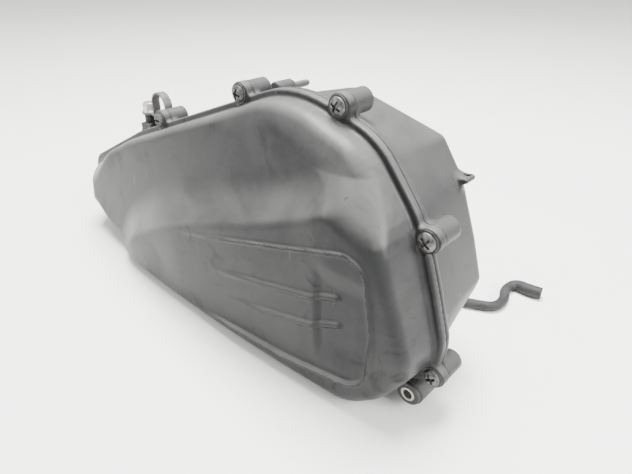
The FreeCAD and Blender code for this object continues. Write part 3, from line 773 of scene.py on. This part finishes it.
def screw_field(x, y, z):
    """A pan-head screw on the Y axis: domed head, tapered cross recess, threaded shank with a point."""
    seat = BOSS_FRONT - WASHER_THICK
    across = np.hypot(x, z)
    dome = np.hypot(across, (y - seat - 7.6) * 0.86) - 9.0
    head = intersect_round(intersect_round(across - HEAD_R, dome, 1.0), y - seat, 0.3)
    thread_height, pitch, middle_r = 0.28, 1.9, 2.12
    thread = np.sin(2 * math.pi * y / pitch - np.arctan2(z, x)) * smooth_step((y - seat - 4) / 3)
    shank = across - middle_r - thread_height * thread
    shank = np.maximum(shank, np.maximum(y - SCREW_TIP, seat - y))
    shank = np.maximum(shank, (across + 1.1 * (y - SCREW_TIP) - 1.0) * 0.67)
    body = union_round(head, shank, 0.3)
    deep = y - (seat - 0.4)
    slot = np.minimum(
        np.maximum(np.abs(x) - 0.62 + 0.1 * deep, np.abs(z) - 2.9 + 0.45 * deep),
        np.maximum(np.abs(z) - 0.62 + 0.1 * deep, np.abs(x) - 2.9 + 0.45 * deep),
    )
    return np.maximum(body, -np.maximum(slot, deep))


def make_screws():
    """The six cover screws, each turned to its own angle, and their washers."""
    points, quads = field_part(screw_field, low=(-7, -5.6, -7), high=(7, SCREW_TIP + 1, 7), step=0.42)
    screws, washers = [], []
    for i, (x, z) in enumerate(SCREWS):
        turn = 0.35 + 1.3 * i
        cos, sin = math.cos(turn), math.sin(turn)
        placed = points @ np.array([[cos, 0, sin], [0, 1, 0], [-sin, 0, cos]]) + (x, 0, z)
        screws.append((placed, quads))
        # painted shade: the washers are drawn near-black to stand in for the shadow in the recess round
        # each screw head
        ring = ring_section(WASHER_R, 2.75, BOSS_FRONT - WASHER_THICK, BOSS_FRONT, 0.35)
        washers.append(turned(ring, (x, z)))
    add_piece("pan_head_screws", screws, "screws", "cover_screws")
    add_piece("flat_washers", washers, "screws", "screw_washers")


def make_mount():
    """The rubber bush with its two flanges, and the sleeve."""
    front, rear = MOUNT_Y
    flange = MOUNT_LUG_R - 0.8
    bush = [
        (COLLAR_R, front - 1.5, 0.3), (flange, front - 1.5, 0.9), (flange, front + 0.5, 0.3),
        (BUSH_R, front + 0.5, 0.3), (BUSH_R, rear - 0.5, 0.3), (flange, rear - 0.5, 0.3),
        (flange, rear + 1.5, 0.9), (COLLAR_R, rear + 1.5, 0.3),
    ]
    sleeve = ring_section(COLLAR_R, COLLAR_BORE_R, front - 2, rear + 2, 0.35)
    add_piece("mount_bush_rubber", [turned(bush, MOUNT)], "casing", "mount_bush")
    add_piece("mount_sleeve", [turned(sleeve, MOUNT)], "casing", "mount_collar")


def make_ducts():
    """The outlet boot, its trumpet and the inlet snorkel."""
    boot = [
        (20, 62.5, 0.8), (30, 62.5, 1.2), (30, 65.4, 0.5), (24, 65.4, 0.5), (24, 68.1, 0.5),
        (31, 68.1, 0.6), (31, 72, 1.6), (24, 72, 1.5), (24, 76, 1.0), (26.5, 76, 1.0),
        (26.5, 79, 1.0), (24, 79, 1.0), (24, 82, 1.0), (26.5, 82, 1.0), (26.5, 85, 1.0),
        (24, 85, 0.8), (24, 86, 0.4), (25.5, 86, 0.6),
        (25.5, 87.5, 0.6), (24, 87.5, 0.5), (24, 101.5, 0.6), (25.5, 101.5, 0.6), (25.5, 104, 0.9),
        (21, 104, 1.0), (21, 80, 0.4), (20, 80, 0.4),
    ]
    trumpet = [
        (20, 78, 0.4), (20, 54, 14), (31, 44, 0.7), (29.5, 42.5, 0.7), (18, 52.5, 14), (18, 78, 0.4),
    ]
    snorkel = [
        (15, 36.5, 0.8), (21, 36.5, 1.0), (21, 39.4, 0.4), (18, 39.4, 0.4), (18, 42.1, 0.4),
        (21, 42.1, 0.5), (21, 45, 1.2), (18, 45, 1.5), (18, 71, 1.0), (20, 71, 1.0),
        (20, 74, 1.2), (15, 74, 1.0),
    ]
    add_piece("outlet_boot_rubber", [turned(boot, OUTLET, 96)], "casing", "outlet_boot")
    add_piece("outlet_trumpet", [turned(trumpet, OUTLET, 96)], "casing", "outlet_funnel")
    add_piece("inlet_snorkel", [turned(snorkel, INLET, 96)], "casing", "inlet_duct")


def spigot_section(wall, collar, length):
    """The section of a push-in spigot whose collar stands on the wall's rear face."""
    tip = wall + length
    return [
        (SPIGOT_BORE_R, wall - 6, 0.2), (SPIGOT_STEM_R, wall - 6, 0.4), (SPIGOT_STEM_R, wall, 0.1),
        (SPIGOT_COLLAR_R, wall, 0.3), (SPIGOT_COLLAR_R, wall + collar, 0.5),
        (HOSE_BORE_R, wall + collar, 0.6), (HOSE_BORE_R, tip - 2, 0.8),
        (HOSE_BORE_R - 0.5, tip, 0.2), (SPIGOT_BORE_R, tip, 0.2),
    ]


def make_spigots():
    """Breather and drain spigots."""
    breather = turned(spigot_section(BREATHER_FACE, 1.5, 19), BREATHER)
    drain = turned(spigot_section(MAIN_BACK, 2.5, 13), DRAIN)
    add_piece("breather_spigot", [breather], "casing", "breather_nipple")
    add_piece("drain_spigot", [drain], "casing", "drain_nipple")


def strap_field(x, y, z):
    """The strap clip: arch, legs and the ear under the bolt."""
    arch_x, arch_z = CLIP_ARCH
    middle = CLIP_ARCH_R + CLIP_THICK / 2
    arch = np.abs(np.hypot(x - arch_x, z - arch_z) - middle) - CLIP_THICK / 2
    legs = np.abs(np.abs(x - arch_x) - middle) - CLIP_THICK / 2
    foot = np.where(x < arch_x, CLIP_SEAT, CLIP_FOOT)
    band = np.where(z > arch_z, arch, np.maximum(legs, foot - z))
    bolt_x, bolt_y = CLIP_BOLT
    width = np.abs(y - bolt_y) - CLIP_HALF_WIDTH
    ear_from, ear_to = bolt_x - CLIP_EAR_R, arch_x - CLIP_ARCH_R
    ear = np.maximum(np.abs(x - (ear_from + ear_to) / 2) - (ear_to - ear_from) / 2, width)
    ear = np.minimum(ear, np.hypot(x - bolt_x, y - bolt_y) - CLIP_EAR_R)
    ear = np.maximum(ear, np.abs(z - CLIP_SEAT - CLIP_THICK / 2) - CLIP_THICK / 2)
    clip = union_round(intersect_round(band, width, 0.4), ear, 0.8)
    return np.maximum(clip, BOLT_SHANK_R + 0.2 - np.hypot(x - bolt_x, y - bolt_y))


def clip_bolt_field(x, y, z):
    """The hexagon flange bolt."""
    x, y, z = x - CLIP_BOLT[0], y - CLIP_BOLT[1], z - CLIP_SEAT - CLIP_THICK
    across = np.hypot(x, y)
    turns = (math.pi / 6, math.pi / 2, 5 * math.pi / 6)
    flats = [np.abs(x * math.cos(a) + y * math.sin(a)) for a in turns]
    hexagon = np.maximum(np.maximum(flats[0], flats[1]), flats[2]) - 5.0
    head = intersect_round(hexagon, z - BOLT_HEAD, 0.4)
    head = np.maximum(head, (across + 0.7 * z - 10.0) * 0.8)
    flange = np.maximum((across + 0.8 * z - 6.9) * 0.78, across - 6.6)
    head = union_round(np.maximum(head, -z), np.maximum(np.maximum(flange, z - 2.2), -z), 0.5)
    shank = np.maximum(np.maximum(across - BOLT_SHANK_R, z - 1), -INSERT_DEPTH - z)
    return np.minimum(head, shank)


def make_clip():
    """Strap and bolt."""
    strap = field_part(strap_field, low=(-127, 5.6, 127), high=(-84, 22.4, 153), step=0.5)
    bolt = field_part(clip_bolt_field, low=(-126, 6, 116), high=(-110, 22, 140), step=0.4)
    add_piece("strap_clip", [strap], "casing", "cable_clip")
    add_piece("flange_bolt", [bolt], "casing", "clip_bolt")


make_hose()
make_cover()
make_case()
make_screws()
make_mount()
make_ducts()
make_spigots()
make_clip()


# ---- materials ----
def add_node(tree, kind, values=None, links=None):
    """A shader node with constants and incoming links set on its sockets."""
    node = tree.nodes.new(kind)
    for key, value in (values or {}).items():
        node.inputs[key].default_value = value
    for key, socket in (links or {}).items():
        tree.links.new(socket, node.inputs[key])
    return node


def noise(tree, place, scale, detail=4.0, roughness=0.55, distortion=0.0):
    """A noise texture's value on the piece's own coordinates."""
    values = {"Scale": scale, "Detail": detail, "Roughness": roughness, "Distortion": distortion}
    return add_node(tree, "ShaderNodeTexNoise", values, {"Vector": place}).outputs["Fac"]


def spread(tree, value, low, high, to_low, to_high):
    """A value's span mapped smoothly to another."""
    values = {"From Min": low, "From Max": high, "To Min": to_low, "To Max": to_high}
    node = add_node(tree, "ShaderNodeMapRange", values, {"Value": value})
    node.interpolation_type = "SMOOTHSTEP"
    return node.outputs["Result"]


def tinted(tree, share, first, second):
    """A colour between two, by share."""
    node = tree.nodes.new("ShaderNodeMix")
    node.data_type = "RGBA"
    tree.links.new(share, node.inputs["Factor"])
    # the Mix node's colour sockets have these numbers; its other sockets carry the same names
    for index, colour in ((6, first), (7, second)):
        if isinstance(colour, tuple):
            node.inputs[index].default_value = (*colour, 1)
        else:
            tree.links.new(colour, node.inputs[index])
    return node.outputs[2]


def new_material(name):
    """A material with a Principled surface, its tree and the piece's own coordinates."""
    material = bpy.data.materials.new(name)
    material.use_nodes = True
    tree = material.node_tree
    shader = tree.nodes["Principled BSDF"]
    place = tree.nodes.new("ShaderNodeTexCoord").outputs["Object"]
    return material, tree, shader, place


def worn_plastic(name, colour, haze, rough, dust_and_top_light=(0.12, 0.12, 0.116)):
    """Moulded polypropylene: soft grain, smudges, fine scratches, and a paler tone on what faces up
    that is partly a pale film of grime and partly painted top light.
    """
    material, tree, shader, place = new_material(name)
    clouds = spread(tree, noise(tree, place, 14, 6, 0.62, 0.6), 0.40, 0.66, 0, 1)
    smudges = spread(tree, noise(tree, place, 38, 5, 0.7, 1.4), 0.52, 0.70, 0, 1)
    body = tinted(tree, clouds, colour, haze)
    dirty = tinted(tree, smudges, body, tuple(0.7 * c for c in colour))
    normal = tree.nodes.new("ShaderNodeNewGeometry").outputs["Normal"]
    height = add_node(tree, "ShaderNodeSeparateXYZ", links={"Vector": normal}).outputs["Z"]
    # painted top light: surfaces that face up are blended towards a pale colour, partly as settled dust
    # and partly to stand in for light falling from above
    faces_up_dust_and_light = spread(tree, height, 0.12, 0.95, 0, 1)
    patchy = spread(tree, noise(tree, place, 22, 6, 0.65, 0.8), 0.30, 0.70, 0.55, 1.0)
    share = add_node(tree, "ShaderNodeMath", {}, {0: faces_up_dust_and_light, 1: patchy})
    share.operation = "MULTIPLY"
    # the pale colour blended in here is partly dust and partly painted top light
    dusty_and_top_lit = tinted(tree, share.outputs["Value"], dirty, dust_and_top_light)
    mapping = {"Scale": (260, 260, 26), "Rotation": (0.5, 0.3, 0.9)}
    stretch = add_node(tree, "ShaderNodeMapping", mapping, {"Vector": place}).outputs["Vector"]
    marks = spread(tree, noise(tree, stretch, 1.0, 2, 0.5, 0.2), 0.70, 0.76, 0, 1)
    scratched = tinted(tree, marks, dusty_and_top_lit, tuple(1.6 * c for c in haze))
    tree.links.new(scratched, shader.inputs["Base Color"])
    tree.links.new(spread(tree, clouds, 0, 1, rough - 0.05, rough + 0.10), shader.inputs["Roughness"])
    fine = noise(tree, place, 1500, 3, 0.6)
    bump = add_node(tree, "ShaderNodeBump", {"Strength": 0.10, "Distance": 0.0004}, {"Height": fine})
    tree.links.new(bump.outputs["Normal"], shader.inputs["Normal"])
    shader.inputs["Specular IOR Level"].default_value = 0.13
    return material


def plain_finish(name, colour, second, rough, scale, metallic=0.0, grain=0.15, grain_scale=900):
    """Rubber, metal, paper or foam: two tones, varied roughness and a fine bump."""
    material, tree, shader, place = new_material(name)
    patches = spread(tree, noise(tree, place, scale, 5, 0.6, 0.4), 0.38, 0.66, 0, 1)
    tree.links.new(tinted(tree, patches, colour, second), shader.inputs["Base Color"])
    tree.links.new(spread(tree, patches, 0, 1, rough, min(rough + 0.14, 1)), shader.inputs["Roughness"])
    shader.inputs["Metallic"].default_value = metallic
    fine = noise(tree, place, grain_scale, 3, 0.6)
    bump = add_node(tree, "ShaderNodeBump", {"Strength": grain, "Distance": 0.0003}, {"Height": fine})
    tree.links.new(bump.outputs["Normal"], shader.inputs["Normal"])
    return material


# slot: the base colour, the colour it clouds into, roughness and whatever differs from the defaults
PLASTICS = {
    "cover_plastic": ((0.014, 0.0143, 0.0152), (0.030, 0.0302, 0.0308), 0.36, {}),
    "case_plastic": (
        # the case's pale up-facing tone is partly dust and partly painted top light
        (0.026, 0.0264, 0.027), (0.044, 0.0442, 0.044), 0.40, {"dust_and_top_light": (0.08, 0.08, 0.078)},
    ),
    "inner_plastic": ((0.045, 0.045, 0.046), (0.075, 0.074, 0.072), 0.45, {}),
}

# slot: two tones, roughness, size of the patches and whatever differs from the defaults
FINISHES = {
    "screw_steel": ((0.055, 0.055, 0.054), (0.16, 0.155, 0.145), 0.42, 420, {"metallic": 0.7}),
    # painted shade: this near-black washer tone stands in for the shadow in the recess round each screw
    # head
    "washer_steel": ((0.020, 0.020, 0.021), (0.045, 0.043, 0.040), 0.45, 260, {"metallic": 0.5}),
    "zinc_steel": ((0.58, 0.57, 0.51), (0.34, 0.33, 0.29), 0.34, 260, {"metallic": 0.85}),
    "rubber": ((0.022, 0.022, 0.022), (0.050, 0.049, 0.047), 0.62, 60, {}),
    "hose_rubber": ((0.008, 0.008, 0.0085), (0.026, 0.0255, 0.025), 0.62, 90, {"grain": 0.4}),
    "paper": ((0.78, 0.66, 0.42), (0.62, 0.51, 0.31), 0.80, 50, {"grain": 0.4}),
    "foam": ((0.10, 0.10, 0.11), (0.17, 0.17, 0.17), 0.90, 120, {"grain": 0.8, "grain_scale": 1400}),
    "brass": ((0.62, 0.44, 0.18), (0.42, 0.29, 0.12), 0.30, 200, {"metallic": 1.0}),
    "clip_strap": ((0.060, 0.060, 0.062), (0.12, 0.118, 0.115), 0.50, 110, {}),
}

MATERIALS = {slot: worn_plastic(slot, *values[:-1], **values[-1]) for slot, values in PLASTICS.items()}
for slot, values in FINISHES.items():
    MATERIALS[slot] = plain_finish(slot, *values[:-1], **values[-1])


def dress():
    """Gives every node and piece the finish of its slot."""
    for node, obj in frame["nodes"].items():
        obj.data.materials.clear()
        obj.data.materials.append(MATERIALS[SLOTS[node]])
        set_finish(obj, SLOTS[node])
    for obj in bpy.data.objects:
        if obj.type == "MESH" and "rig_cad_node" not in obj and obj.get("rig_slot"):
            obj.data.materials.clear()
            obj.data.materials.append(MATERIALS[obj["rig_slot"]])


# ---- stage ----
def make_floor():
    """A flat pale floor."""
    material = plain_finish("floor", (0.86, 0.86, 0.83), (0.83, 0.83, 0.80), 0.75, 3, grain=0.02)
    size = 4.0
    corners = np.array([(-size, -size, 0), (size, -size, 0), (size, size, 0), (-size, size, 0)])
    floor = mesh_object("floor", corners, np.array([[0, 1, 2, 3]]))
    floor.data.materials.append(material)


def add_light(name, place, size, power, aim=(0, 0, 0.08)):
    """A large soft lamp."""
    data = bpy.data.lights.new(name, "AREA")
    data.shape = "DISK"
    data.size = size
    data.energy = power
    lamp = bpy.data.objects.new(name, data)
    bpy.context.collection.objects.link(lamp)
    lamp.location = place
    lamp.rotation_euler = (Vector(aim) - Vector(place)).to_track_quat("-Z", "Y").to_euler()


def light_scene():
    """Surroundings that grow brighter upwards, and three soft lamps."""
    world = bpy.data.worlds.new("surroundings")
    bpy.context.scene.world = world
    world.use_nodes = True
    tree = world.node_tree
    place = tree.nodes.new("ShaderNodeTexCoord").outputs["Generated"]
    way = add_node(tree, "ShaderNodeSeparateXYZ", links={"Vector": place})
    low_strength, high_strength = 0.6, 1.4
    up = spread(tree, way.outputs["Z"], 0.0, 0.8, low_strength, high_strength)
    background = tree.nodes["Background"]
    background.inputs["Color"].default_value = (1.0, 1.0, 1.0, 1)
    tree.links.new(up, background.inputs["Strength"])
    add_light("top", (-0.1, 0.15, 1.5), 0.9, 105)
    add_light("window", (-1.5, -1.75, 0.95), 1.2, 30)
    add_light("side", (1.5, 0.2, 0.9), 0.8, 42)


dress()
make_floor()
light_scene()
